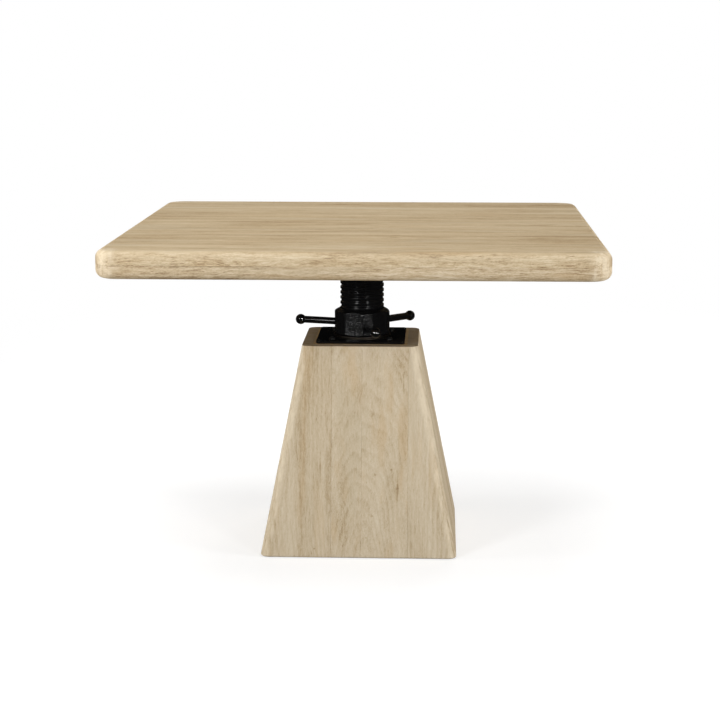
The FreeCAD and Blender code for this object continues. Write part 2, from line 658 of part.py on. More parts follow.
def corner_posts():
    """Four posts glued into the inner corners, between the brace board and the cap board."""
    outlines = []
    for z in (BRACE_TOP, CAP_BOARD_UNDERSIDE):
        outer = base_half_width(z) - PANEL_THICKNESS
        inner = outer - POST_WIDTH
        outlines.append([Vector(-outer, -outer, z), Vector(-inner, -outer, z),
                         Vector(-inner, -inner, z), Vector(-outer, -inner, z)])
    post = six_faced(*outlines)
    names = ("front_left", "front_right", "back_right", "back_left")
    return {f"corner_post_{name}": turned(post, 90 * i) for i, name in enumerate(names)}


# ---- All nodes ----
def all_nodes():
    """Every node of the table by name."""
    nodes = {
        "top_plate": top_plate(),
        "top_collar": top_collar(),
        "plate_ribs": plate_ribs(),
        "plate_screws": plate_screws(),
        "batten_screws": batten_screws(),
        "column_screws": column_screws(),
        "threaded_column": threaded_column(),
        "stop_ring": stop_ring(),
        "stop_ring_screws": stop_ring_screws(),
        "lifting_nut": lifting_nut(),
        "retaining_ring": retaining_ring(),
        "thrust_washer": thrust_washer(),
        "flange_plate": flange_plate(),
        "flange_bolts": flange_bolts(),
        "guide_tube": guide_tube(),
        "guide_bush": guide_bush(),
        "guide_key": guide_key(),
        "guide_screws": guide_screws(),
        "cap_board": fitted_board(CAP_BOARD_UNDERSIDE, BASE_HEIGHT).cut(flange_bolts()),
        "brace_board": fitted_board(BRACE_UNDERSIDE, BRACE_TOP),
        "glides": glides(),
    }
    for group in (top_boards(), edge_strips(), battens(), side_panels(), rails(), corner_posts()):
        nodes.update(group)
    for i, angle in enumerate(handle_angles()):
        nodes[f"handle_rod_{i + 1}"] = turned(handle_rod(), angle)
        nodes[f"ball_knob_{i + 1}"] = turned(ball_knob(), angle)
    return nodes


os.makedirs("parts", exist_ok=True)
for node_name, node_shape in all_nodes().items():
    node_shape.exportStep(f"parts/{node_name}.step")
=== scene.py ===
import math
import random

import bmesh
import bpy
from mathutils import Matrix, Vector


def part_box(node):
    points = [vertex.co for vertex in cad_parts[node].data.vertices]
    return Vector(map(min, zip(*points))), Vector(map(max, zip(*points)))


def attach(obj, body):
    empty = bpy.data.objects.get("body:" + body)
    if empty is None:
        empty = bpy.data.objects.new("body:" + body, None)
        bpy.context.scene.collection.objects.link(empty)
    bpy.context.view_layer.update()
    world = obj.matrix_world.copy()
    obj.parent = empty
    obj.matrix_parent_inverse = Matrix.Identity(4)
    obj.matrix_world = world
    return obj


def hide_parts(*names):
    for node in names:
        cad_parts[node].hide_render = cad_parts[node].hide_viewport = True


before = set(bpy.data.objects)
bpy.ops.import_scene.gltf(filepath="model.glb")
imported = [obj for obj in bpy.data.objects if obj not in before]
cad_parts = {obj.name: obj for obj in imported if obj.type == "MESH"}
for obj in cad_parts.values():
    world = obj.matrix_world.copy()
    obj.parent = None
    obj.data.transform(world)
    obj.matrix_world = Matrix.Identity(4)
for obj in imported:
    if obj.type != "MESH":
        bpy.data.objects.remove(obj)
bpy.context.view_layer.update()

# Telescoping pedestal table. Lengths are in metres, in the frame of the CAD model: +Z up, -Y to the front,
# with the origin on the floor under the axis of the column.

# ---- Places that the frame gives ----
TABLE_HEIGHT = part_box("top_board_1")[1].z
BOARD_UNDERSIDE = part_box("top_board_1")[0].z
TOP_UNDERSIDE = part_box("edge_strip_front")[0].z
TOP_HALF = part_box("edge_strip_front")[1].x
STRIP_INNER = -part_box("edge_strip_front")[1].y
BOARD_COUNT = sum(name.startswith("top_board_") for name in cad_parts)
BASE_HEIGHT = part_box("cap_board")[1].z
BASE_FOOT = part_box("panel_front")[0].z
FLANGE_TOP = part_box("flange_plate")[1].z
FLANGE_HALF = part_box("flange_plate")[1].x
NUT_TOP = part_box("lifting_nut")[1].z
JOURNAL_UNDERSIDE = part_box("lifting_nut")[0].z
WASHER_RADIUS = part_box("thrust_washer")[1].x
WASHER_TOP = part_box("thrust_washer")[1].z
RING_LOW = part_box("retaining_ring")[0].z
RING_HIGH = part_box("retaining_ring")[1].z
COLUMN_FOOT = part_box("threaded_column")[0].z
COLUMN_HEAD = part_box("threaded_column")[1].z
COLUMN_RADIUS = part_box("threaded_column")[1].x
STOP_RING_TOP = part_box("stop_ring")[1].z
COLLAR_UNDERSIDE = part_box("top_collar")[0].z
FRONT_ROD_MIDDLE = sum(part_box("handle_rod_1"), Vector((0, 0, 0))) / 2
HANDLE_ANGLE = math.degrees(math.atan2(FRONT_ROD_MIDDLE.x, -FRONT_ROD_MIDDLE.y))
HANDLE_Z = FRONT_ROD_MIDDLE.z

# ---- Sizes of the CAD model that its boxes don't give ----
TOP_CORNER_RADIUS = 0.048
TOP_EDGE_RADIUS = 0.018
BASE_BOTTOM_HALF = 0.2245
BASE_TOP_HALF = 0.133
BASE_CORNER_RADIUS = 0.020
BASE_FOOT_RADIUS = 0.004
PANEL_THICKNESS = 0.025
FLANGE_CORNER_RADIUS = 0.008
BOLT_OFFSET = 0.0665
BOLT_HEAD_RADIUS = 0.0075
BOLT_HEAD_HEIGHT = 0.005
BOLT_SHANK_RADIUS = 0.0045
BOLT_LENGTH = 0.038
BOLT_SOCKET_RADIUS = 0.0029
BOLT_SOCKET_DEPTH = 0.0026
JOURNAL_RADIUS = 0.057
JOURNAL_HOLE_RADIUS = 0.0574
RING_GROOVE_RADIUS = 0.055
NUT_CLEARANCE = 0.0003
NUT_UNDERSIDE = WASHER_TOP + NUT_CLEARANCE
NUT_BORE_RADIUS = 0.0515
NUT_CIRCUMRADIUS = 0.0652
NUT_NARROW_FACE_ANGLE = 20.0
NUT_SHOULDER_RADIUS = 0.0088
NUT_SHOULDER_STAND = 0.0008
NUT_BEVEL_ANGLE = 30.0
NUT_RIM_WIDTH = 0.0008
HANDLE_COUNT = 3
HANDLE_ROD_RADIUS = 0.0083
HANDLE_ROD_LENGTH = 0.080
BALL_RADIUS = 0.0122
THREAD_PITCH = 0.012
THREAD_DEPTH = 0.0025
SPIGOT_RADIUS = 0.048
COLUMN_BORE_RADIUS = 0.038
KEYWAY_HALF_WIDTH = 0.0065
KEYWAY_DEPTH = 0.0055

# ---- Rounded edges, and the rows of the thread's mesh ----
SEAM_EASE = 0.0004
METAL_EASE = 0.0008
WASHER_EASE = 0.0005
NUT_LIP = 0.0004
NUT_EDGE_SHARPNESS = 260
BOLT_RIM = 0.0003
BOLT_SOCKET_LIP = 0.0002
SPIGOT_STEP = 0.0005
THREAD_ROOT_HALF_WIDTH = 0.0013
THREAD_FLANK_WIDTH = 0.0026
ROWS_PER_THREAD = 14

# ---- Handles: how a rod enters the nut and its ball ----
ROD_SINK = 0.004
ROD_OVERLAP = 0.002
ROD_NECK = 0.0006
ROD_CHAMFER = 0.0015
BALL_MOUTH_CLEARANCE = 0.0002
TIP_FLAT = 0.00005

# ---- Staves and boards ----
BASE_LEAN = math.atan((BASE_BOTTOM_HALF - BASE_TOP_HALF) / BASE_HEIGHT)
# Seams between the staves of each side of the base, in metres to the right of its middle.
PANEL_SEAMS = {"front": (-0.063, 0.006, 0.112), "right": (-0.105, -0.02, 0.085), "back": (-0.09, 0.03, 0.1),
               "left": (-0.12, -0.035, 0.06)}
# Place and lean of each stave of the front panel in its log: straight grain at the left, then two staves
# whose figure arches over the seam between them, then straight grain again.
FRONT_CUTS = (((7.3, 0.11, 0.03), 0.03), ((3.1, -0.030, 0.016), -0.20), ((3.0, 0.047, 0.014), -0.22),
              ((6.2, -0.10, 0.04), 0.04))
# Width of the glue stain beside a joint, and the distance that stands for a side with no joint.
JOINT_STAIN = 0.0011
NO_JOINT = 9.0

# ---- Camera: it stands a little to the right of the front and looks down on the table ----
CAMERA_YAW = 2.45
CAMERA_PITCH = 10.581
CAMERA_DISTANCE = 4.1945
CAMERA_SIDE = -0.005
CAMERA_HEIGHT = 1.2024
CAMERA_LENS = 90.56
LIGHT_AIM = Vector((0, 0, 0.52))

# The seed settles the figure of every plank that is cut at random.
random.seed(3)
# What the glints light.
metalwork = bpy.data.collections.new("metalwork")


# ---- Outlines ----
def arc(centre, radius, first, last, steps):
    """Points on an arc in a plane, with its two ends, by angle in degrees."""
    angles = [math.radians(first + (last - first) * i / steps) for i in range(steps + 1)]
    return [(centre[0] + radius * math.cos(a), centre[1] + radius * math.sin(a)) for a in angles]


def rounded_square(half, radius, z, steps):
    """Level square about the column's axis with rounded corners, anticlockwise."""
    reach = half - radius
    points = []
    for quarter, (side_x, side_y) in enumerate(((1, 1), (-1, 1), (-1, -1), (1, -1))):
        centre = (side_x * reach, side_y * reach)
        points += arc(centre, radius, 90 * quarter, 90 * quarter + 90, steps)
    return [Vector((x, y, z)) for x, y in points]


def eased(outline, radius, steps=3):
    """Closed outline of (r, z) points with every corner replaced by a small arc."""
    points = []
    for i, place in enumerate(outline):
        corner = Vector(place)
        before = (Vector(outline[i - 1]) - corner).normalized()
        after = (Vector(outline[(i + 1) % len(outline)]) - corner).normalized()
        half_angle = before.angle(after) / 2
        centre = corner + (before + after).normalized() * radius / math.sin(half_angle)
        start = corner + before * radius / math.tan(half_angle) - centre
        end = corner + after * radius / math.tan(half_angle) - centre
        sweep = start.angle_signed(end)
        points += [centre + Matrix.Rotation(-sweep * k / steps, 2) @ start for k in range(steps + 1)]
    return points


# ---- Solids ----
def lofted(rings, capped=True):
    """Solid between rings of equally many points, capped flat or joined from the last ring to the first."""
    solid = bmesh.new()
    rows = [[solid.verts.new(point) for point in ring] for ring in rings]
    pairs = list(zip(rows, rows[1:]))
    if not capped:
        pairs.append((rows[-1], rows[0]))
    count = len(rows[0])
    for lower, upper in pairs:
        for i in range(count):
            j = (i + 1) % count
            solid.faces.new((lower[i], lower[j], upper[j], upper[i]))
    if capped:
        solid.faces.new(rows[0])
        solid.faces.new(rows[-1])
    bmesh.ops.recalc_face_normals(solid, faces=solid.faces)
    return solid


def turned(outline, steps=96):
    """Ring-shaped solid about the Z axis, from a closed outline of (r, z) points."""
    angles = [2 * math.pi * i / steps for i in range(steps)]
    rings = [[Vector((r * math.cos(a), r * math.sin(a), z)) for a in angles] for r, z in outline]
    return lofted(rings, capped=False)


def cut_away(solid, point, normal):
    """Removes what lies beyond a plane, on the side of its normal, and closes the cut."""
    everything = solid.verts[:] + solid.edges[:] + solid.faces[:]
    cut = bmesh.ops.bisect_plane(solid, geom=everything, dist=1e-7, plane_co=point, plane_no=normal,
                                 clear_outer=True)
    edges = [part for part in cut["geom_cut"] if isinstance(part, bmesh.types.BMEdge)]
    bmesh.ops.contextual_create(solid, geom=edges)


def plank(form, planes):
    """Copy of a form, cut by (point, normal) planes, with its cut edges eased."""
    solid = form.copy()
    for point, normal in planes:
        cut_away(solid, Vector(point), Vector(normal))
    bmesh.ops.recalc_face_normals(solid, faces=solid.faces)
    sharp = [edge for edge in solid.edges if edge.calc_face_angle(0) > math.radians(40)]
    bmesh.ops.bevel(solid, geom=sharp, offset=SEAM_EASE, segments=2, profile=0.5, affect="EDGES")
    return solid


# ---- Meshes and pieces ----
def in_log(origin, along, across, shift, lean):
    """Function that gives a point's place in its plank's log: x along the grain, y and z from the pith."""
    rows = Matrix((along, across, along.cross(across) - along * lean))
    return lambda point: rows @ (point - origin) + Vector(shift)


def random_cut(lean, aside=0.0):
    """Random place of a plank in its log, moved aside from the pith, and a lean of up to that much."""
    shift = (random.uniform(0, 8), aside + random.uniform(-0.035, 0.035), random.uniform(0.02, 0.075))
    return shift, random.uniform(-lean, lean)


def from_joints(direction, low, high):
    """Function that gives a point's distances from the joints at a plank's sides, and the plank's tone."""
    tone = random.uniform(-0.07, 0.07)
    return lambda point: (point.dot(direction) - low, high - point.dot(direction), tone)


def wooden_mesh(name, planks):
    """One mesh from planks: a solid, its place in the log (attribute "grain") and its joints ("joint")."""
    points, faces, grain, joint = [], [], [], []
    for solid, place_in_log, beside in planks:
        solid.verts.index_update()
        first = len(points)
        points += [vertex.co.copy() for vertex in solid.verts]
        for face in solid.faces:
            faces.append([first + vertex.index for vertex in face.verts])
            for vertex in face.verts:
                grain.extend(place_in_log(vertex.co))
                joint.extend(beside(vertex.co))
        solid.free()
    mesh = bpy.data.meshes.new(name)
    mesh.from_pydata(points, [], faces)
    mesh.attributes.new("grain", "FLOAT_VECTOR", "CORNER").data.foreach_set("vector", grain)
    mesh.attributes.new("joint", "FLOAT_VECTOR", "CORNER").data.foreach_set("vector", joint)
    return mesh


def plain_mesh(name, solid):
    """Mesh of one solid, with no attributes. The solid is used up."""
    mesh = bpy.data.meshes.new(name)
    solid.to_mesh(mesh)
    solid.free()
    return mesh


def piece(mesh, body, slot, material, nodes, sharp_angle=38):
    """Piece of the visual model that rides on a body and stands for CAD nodes."""
    obj = bpy.data.objects.new(mesh.name, mesh)
    bpy.context.scene.collection.objects.link(obj)
    mesh.shade_smooth()
    mesh.set_sharp_from_angle(angle=math.radians(sharp_angle))
    mesh.materials.append(material)
    weights = obj.modifiers.new("weighted normals", "WEIGHTED_NORMAL")
    weights.keep_sharp = True
    if not slot.endswith("wood"):
        metalwork.objects.link(obj)
    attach(obj, body)
    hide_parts(*nodes)


# ---- Table top ----
def top_form():
    """Outer form of the whole top: a thick square slab with rounded corners and edges."""
    lower = (TOP_UNDERSIDE + TOP_EDGE_RADIUS, -90, 0)
    upper = (TABLE_HEIGHT - TOP_EDGE_RADIUS, 0, 90)
    rings = []
    for z, first, last in (lower, upper):
        for out, up in arc((0, z), TOP_EDGE_RADIUS, first, last, 9):
            inset = TOP_EDGE_RADIUS - out
            rings.append(rounded_square(TOP_HALF - inset, TOP_CORNER_RADIUS - inset, up, 12))
    return lofted(rings)


def top_boards(form, material):
    """Edge-glued boards with the grain along X."""
    width = 2 * TOP_HALF / BOARD_COUNT
    for i in range(BOARD_COUNT):
        first, last = i == 0, i == BOARD_COUNT - 1
        low = i * width - TOP_HALF
        high = low + width
        across = Vector((0, 1, 0))
        planes = [((0, 0, BOARD_UNDERSIDE), (0, 0, -1))]
        if not first:
            planes.append((across * low, -across))
        if not last:
            planes.append((across * high, across))
        middle = Vector((0, (low + high) / 2, TABLE_HEIGHT))
        place = in_log(middle, Vector((1, 0, 0)), across, *random_cut(0.02))
        beside = from_joints(across, -NO_JOINT if first else low, NO_JOINT if last else high)
        mesh = wooden_mesh(f"board_{i + 1}", [(plank(form, planes), place, beside)])
        piece(mesh, "column", "top_wood", material, [f"top_board_{i + 1}"])


def edge_strips(form, material):
    """Strips under the edges of the boards, each with its grain along its length."""
    for side, outward in (("front", (0, -1)), ("right", (1, 0)), ("back", (0, 1)), ("left", (-1, 0))):
        out = Vector((*outward, 0))
        along = Vector((-out.y, out.x, 0))
        planes = [((0, 0, BOARD_UNDERSIDE), (0, 0, 1)), (out * STRIP_INNER, -out)]
        if side in ("left", "right"):
            planes.append((along * STRIP_INNER, along))
            planes.append((-along * STRIP_INNER, -along))
        place = in_log(out * TOP_HALF, along, Vector((0, 0, 1)), *random_cut(0.02, aside=0.05))
        beside = from_joints(Vector((0, 0, 1)), -NO_JOINT, BOARD_UNDERSIDE)
        mesh = wooden_mesh(f"strip_{side}", [(plank(form, planes), place, beside)])
        piece(mesh, "column", "edge_wood", material, [f"edge_strip_{side}"])


# ---- Base ----
def base_half(z):
    """Half the outer width of the base at a height."""
    return BASE_BOTTOM_HALF + z / BASE_HEIGHT * (BASE_TOP_HALF - BASE_BOTTOM_HALF)


def base_form():
    """Outer form of the base: a square frustum with rounded corners and a softened foot."""
    rings = []
    for out, up in arc((0, BASE_FOOT + BASE_FOOT_RADIUS), BASE_FOOT_RADIUS, -90, 0, 5):
        inset = BASE_FOOT_RADIUS - out
        rings.append(rounded_square(base_half(up) - inset, BASE_CORNER_RADIUS - inset, up, 10))
    rings.append(rounded_square(base_half(BASE_HEIGHT), BASE_CORNER_RADIUS, BASE_HEIGHT, 10))
    return lofted(rings)


def base_panels(form, materials):
    """Four mitred panels, each glued up from staves with upright grain."""
    for i, (side, seams) in enumerate(PANEL_SEAMS.items()):
        turn = Matrix.Rotation(math.radians(90 * i), 3, "Z")
        across = turn @ Vector((1, 0, 0))
        along = turn @ Vector((0, math.sin(BASE_LEAN), math.cos(BASE_LEAN)))
        outward = turn @ Vector((0, -math.cos(BASE_LEAN), math.sin(BASE_LEAN)))
        foot = turn @ Vector((0, -BASE_BOTTOM_HALF, 0))
        ends = [-BASE_BOTTOM_HALF, *seams, BASE_BOTTOM_HALF]
        cuts = FRONT_CUTS if side == "front" else [random_cut(0.12) for _ in ends[1:]]
        staves = []
        for low, high, cut in zip(ends, ends[1:], cuts):
            planes = [(foot - outward * PANEL_THICKNESS, -outward),
                      ((0, 0, 0), turn @ Vector((1, 1, 0))), ((0, 0, 0), turn @ Vector((-1, 1, 0)))]
            joints = [-NO_JOINT, NO_JOINT]
            if low > -BASE_BOTTOM_HALF:
                planes.append((across * low, -across))
                joints[0] = low
            if high < BASE_BOTTOM_HALF:
                planes.append((across * high, across))
                joints[1] = high
            place = in_log(foot + across * (low + high) / 2, along, across, *cut)
            staves.append((plank(form, planes), place, from_joints(across, *joints)))
        piece(wooden_mesh(f"side_{side}", staves), "base", "base_wood", materials[side], [f"panel_{side}"])


# ---- Ironwork on the base ----
def flange(material):
    """Square plate with eased edges and the hole for the nut's journal."""
    outer = [(FLANGE_HALF - METAL_EASE, BASE_HEIGHT, 0), (FLANGE_HALF, BASE_HEIGHT + METAL_EASE, METAL_EASE)]
    for out, up in arc((0, FLANGE_TOP - METAL_EASE), METAL_EASE, 0, 90, 3):
        outer.append((FLANGE_HALF - METAL_EASE + out, up, out))
    rings = [rounded_square(half, FLANGE_CORNER_RADIUS - METAL_EASE + grow, z, 8) for half, z, grow in outer]
    for z in (FLANGE_TOP, BASE_HEIGHT):
        hole = []
        for point in rings[0]:
            hole.append(Vector((*(point.xy.normalized() * JOURNAL_HOLE_RADIUS), z)))
        rings.append(hole)
    mesh = plain_mesh("flange", lofted(rings, capped=False))
    piece(mesh, "base", "black_iron", material, ["flange_plate"])


def bolt_rings(steps=48):
    """Rings of a domed bolt with a hexagon socket, from the socket's floor over the dome to the shank."""
    dome_radius = (BOLT_HEAD_RADIUS ** 2 + BOLT_HEAD_HEIGHT ** 2) / (2 * BOLT_HEAD_HEIGHT)

    def dome_z(r):
        return BOLT_HEAD_HEIGHT - dome_radius + math.sqrt(dome_radius ** 2 - r ** 2)

    def ring(radius, z, hexagon):
        points = []
        for i in range(steps):
            angle = 2 * math.pi * i / steps
            off_flat = (angle + math.pi / 6) % (math.pi / 3) - math.pi / 6
            reach = radius * math.cos(math.pi / 6) / math.cos(off_flat) if hexagon else radius
            points.append(Vector((reach * math.cos(angle), reach * math.sin(angle), z)))
        return points

    floor = BOLT_HEAD_HEIGHT - BOLT_SOCKET_DEPTH
    mouth = dome_z(BOLT_SOCKET_RADIUS)
    rings = [ring(BOLT_SOCKET_RADIUS, floor, True), ring(BOLT_SOCKET_RADIUS, mouth - BOLT_SOCKET_LIP, True)]
    for share in (0.47, 0.55, 0.65, 0.75, 0.84, 0.92, 0.97):
        rings.append(ring(share * BOLT_HEAD_RADIUS, dome_z(share * BOLT_HEAD_RADIUS), False))
    rings.append(ring(BOLT_HEAD_RADIUS, BOLT_RIM, False))
    rings.append(ring(BOLT_HEAD_RADIUS, 0, False))
    rings.append(ring(BOLT_SHANK_RADIUS, 0, False))
    rings.append(ring(BOLT_SHANK_RADIUS, -BOLT_LENGTH, False))
    return rings


def bolts(material):
    """Four bolts through the flange plate, each turned as it was left."""
    together = bmesh.new()
    for side_x, side_y, degrees in ((-1, -1, 11), (1, -1, 37), (1, 1, 4), (-1, 1, 52)):
        place = Matrix.Translation((side_x * BOLT_OFFSET, side_y * BOLT_OFFSET, FLANGE_TOP))
        solid = lofted(bolt_rings())
        bmesh.ops.transform(solid, matrix=place @ Matrix.Rotation(math.radians(degrees), 4, "Z"),
                            verts=solid.verts)
        mesh = plain_mesh("one_bolt", solid)
        together.from_mesh(mesh)
        bpy.data.meshes.remove(mesh)
    piece(plain_mesh("bolts", together), "base", "black_fasteners", material, ["flange_bolts"])


def washer(material):
    """Bronze washer under the nut."""
    outline = [(JOURNAL_HOLE_RADIUS, FLANGE_TOP), (WASHER_RADIUS, FLANGE_TOP), (WASHER_RADIUS, WASHER_TOP),
               (JOURNAL_HOLE_RADIUS, WASHER_TOP)]
    solid = turned(eased(outline, WASHER_EASE))
    piece(plain_mesh("washer", solid), "base", "bronze", material, ["thrust_washer"])


# ---- Lifting nut and handles ----
def nut_side(angle, dome):
    """Distance of the nut's side from the axis at an angle from the front, under a dome of that radius.

    It is a soft minimum of the dome's radius and the distances of the faces that look that way.
    """
    narrow_half = math.radians(NUT_NARROW_FACE_ANGLE / 2)
    step = math.radians(180 / HANDLE_COUNT)
    first = math.radians(HANDLE_ANGLE)
    total = 1.0
    for i in range(2 * HANDLE_COUNT):
        narrow = (first + i * step, NUT_CIRCUMRADIUS * math.cos(narrow_half))
        wide = (first + (i + 0.5) * step, NUT_CIRCUMRADIUS * math.cos(step / 2 - narrow_half))
        for middle, apothem in (narrow, wide):
            facing = math.cos(angle - middle)
            if facing > 0.5:
                total += (dome * facing / apothem) ** NUT_EDGE_SHARPNESS
    return dome * total ** (-1 / NUT_EDGE_SHARPNESS)


def nut(material):
    """Nut with soft cast edges, its bore and its journal, as one closed surface."""
    outer = NUT_CIRCUMRADIUS + NUT_SHOULDER_STAND
    flat = outer - NUT_SHOULDER_RADIUS
    rim = NUT_BORE_RADIUS + NUT_RIM_WIDTH
    slope = math.radians(NUT_BEVEL_ANGLE)
    bevel_width = flat + NUT_SHOULDER_RADIUS * math.sin(slope) - rim
    low = NUT_UNDERSIDE + NUT_SHOULDER_RADIUS
    high = NUT_TOP - bevel_width * math.tan(slope) - NUT_SHOULDER_RADIUS * math.cos(slope)
    shoulder = arc((flat, low), NUT_SHOULDER_RADIUS, -90, 0, 14)
    shoulder += [(outer, low + (high - low) * i / 12) for i in range(1, 12)]
    shoulder += arc((flat, high), NUT_SHOULDER_RADIUS, 0, 90 - NUT_BEVEL_ANGLE, 12)
    shoulder += [(rim + bevel_width * i / 8, NUT_TOP - bevel_width * i / 8 * math.tan(slope))
                 for i in range(7, -1, -1)]
    below = [(NUT_BORE_RADIUS, JOURNAL_UNDERSIDE), (JOURNAL_RADIUS, JOURNAL_UNDERSIDE),
             (JOURNAL_RADIUS, RING_LOW), (RING_GROOVE_RADIUS, RING_LOW), (RING_GROOVE_RADIUS, RING_HIGH),
             (JOURNAL_RADIUS, RING_HIGH), (JOURNAL_RADIUS, NUT_UNDERSIDE)]
    lip = [(NUT_BORE_RADIUS + NUT_LIP, NUT_TOP), (NUT_BORE_RADIUS, NUT_TOP - NUT_LIP)]
    steps = 240
    rings = []
    for group, faceted in ((below, False), (shoulder, True), (lip, False)):
        for r, z in group:
            ring = []
            for i in range(steps):
                angle = 2 * math.pi * i / steps
                reach = nut_side(angle, r) if faceted else r
                ring.append(Vector((reach * math.sin(angle), -reach * math.cos(angle), z)))
            rings.append(ring)
    piece(plain_mesh("nut", lofted(rings, capped=False)), "nut", "black_iron", material, ["lifting_nut"])


def handle_outlines():
    """Outlines of a rod and of its ball, as (r, distance from the column's axis) points."""
    near = NUT_CIRCUMRADIUS * math.cos(math.radians(NUT_NARROW_FACE_ANGLE / 2))
    far = near + HANDLE_ROD_LENGTH
    neck = HANDLE_ROD_RADIUS - ROD_NECK
    almost_axis = 0.00001
    rod = [(almost_axis, near - ROD_SINK), (HANDLE_ROD_RADIUS, near - ROD_SINK),
           (HANDLE_ROD_RADIUS, near + ROD_OVERLAP), (HANDLE_ROD_RADIUS, (near + far) / 2),
           (HANDLE_ROD_RADIUS, far - ROD_CHAMFER), (neck, far), (neck, far + ROD_OVERLAP),
           (almost_axis, far + ROD_OVERLAP)]
    ball_flat = math.sqrt(BALL_RADIUS ** 2 - HANDLE_ROD_RADIUS ** 2)
    start = -math.degrees(math.asin(ball_flat / BALL_RADIUS))
    curve = arc((0, far + ball_flat), BALL_RADIUS, start, 82, 26)
    ball = [(almost_axis, far), (HANDLE_ROD_RADIUS - BALL_MOUTH_CLEARANCE, far), *curve[1:],
            (almost_axis, curve[-1][1] + TIP_FLAT)]
    return rod, ball


def handles(rod_material, ball_material):
    """Three handle rods with their ball knobs."""
    rod, ball = handle_outlines()
    for i in range(HANDLE_COUNT):
        heading = Matrix.Rotation(math.radians(HANDLE_ANGLE + 360 * i / HANDLE_COUNT), 4, "Z")
        level = Matrix.Rotation(math.radians(90), 4, "X")
        place = Matrix.Translation((0, 0, HANDLE_Z)) @ heading @ level
        for name, outline, node, material in (("rod", rod, "handle_rod", rod_material),
                                              ("ball", ball, "ball_knob", ball_material)):
            solid = turned(outline, 56)
            bmesh.ops.transform(solid, matrix=place, verts=solid.verts)
            mesh = plain_mesh(f"{name}_{i + 1}", solid)
            piece(mesh, "nut", "black_iron", material, [f"{node}_{i + 1}"])


# ---- Threaded column ----
def thread_radius(angle, z):
    """Radius of the column at an angle and height: a rounded right-hand thread, and plain ends."""
    if z < STOP_RING_TOP or z > COLLAR_UNDERSIDE:
        return SPIGOT_RADIUS
    turns = (z - NUT_TOP) / THREAD_PITCH - angle / (2 * math.pi)
    off_groove = abs((turns + 0.5) % 1 - 0.5) * THREAD_PITCH
    share = min(max((off_groove - THREAD_ROOT_HALF_WIDTH) / THREAD_FLANK_WIDTH, 0), 1)
    return COLUMN_RADIUS - THREAD_DEPTH * (1 - share * share * (3 - 2 * share))


def column_angles(steps=120):
    """Angles round the column, the keyway's own angle, and half its width as an angle.

    Two angles close together at each side of the keyway keep its walls steep.
    """
    half = math.asin(KEYWAY_HALF_WIDTH / COLUMN_RADIUS)
    back = math.pi / 2
    wall = 0.004
    clear = 0.012
    edges = [back - half - wall, back - half, back + half, back + half + wall]
    even = [2 * math.pi * i / steps for i in range(steps)]
    kept = [angle for angle in even if min(abs(angle - edge) for edge in edges) > clear]
    return sorted(kept + edges), back, half


def column(material):
    """Hollow column with its thread and its keyway, as one closed surface."""
    angles, back, half = column_angles()
    rows = round((COLLAR_UNDERSIDE - STOP_RING_TOP) / THREAD_PITCH * ROWS_PER_THREAD)
    levels = [COLUMN_FOOT, STOP_RING_TOP - SPIGOT_STEP]
    levels += [STOP_RING_TOP + (COLLAR_UNDERSIDE - STOP_RING_TOP) * i / rows for i in range(rows + 1)]
    levels += [COLLAR_UNDERSIDE + SPIGOT_STEP, COLUMN_HEAD]
    rings = []
    for z in levels:
        ring = []
        for angle in angles:
            radius = thread_radius(angle, z)
            if abs(angle - back) <= half + 1e-6 and STOP_RING_TOP <= z <= COLLAR_UNDERSIDE:
                radius = COLUMN_RADIUS - KEYWAY_DEPTH
            ring.append(Vector((radius * math.cos(angle), radius * math.sin(angle), z)))
        rings.append(ring)
    for z in (COLUMN_HEAD, COLUMN_FOOT):
        rings.append([Vector((COLUMN_BORE_RADIUS * math.cos(a), COLUMN_BORE_RADIUS * math.sin(a), z))
                      for a in angles])
    mesh = plain_mesh("column", lofted(rings, capped=False))
    piece(mesh, "column", "black_iron", material, ["threaded_column"], sharp_angle=60)


